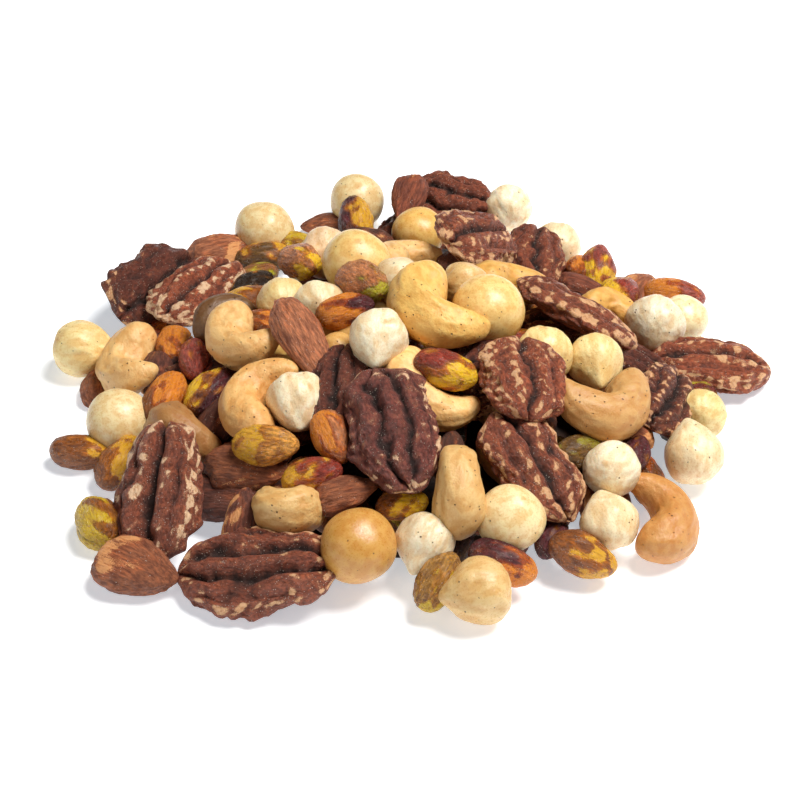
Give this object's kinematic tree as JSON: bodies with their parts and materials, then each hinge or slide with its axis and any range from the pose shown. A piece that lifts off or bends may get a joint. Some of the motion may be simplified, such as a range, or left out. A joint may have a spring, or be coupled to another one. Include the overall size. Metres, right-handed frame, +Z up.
{
  "type": "heap of mixed nuts",
  "caption": "Loose heap of roasted mixed nuts on a flat surface: pecan halves, cashews, hazelnuts, macadamias, pistachio kernels and almonds.",
  "frame": {"origin": "on the surface that the heap lies on, under the middle of its outline", "axes": "+Z up, +X to the right and +Y away from the viewer of the picture"},
  "size_m": [0.1756, 0.1736, 0.041],
  "materials": {
    "nut_heap": "dry, slightly oily roasted nut"
  },
  "bodies": {
    "root": {"nut_heap": "nut_heap"}
  },
  "joints": []
}
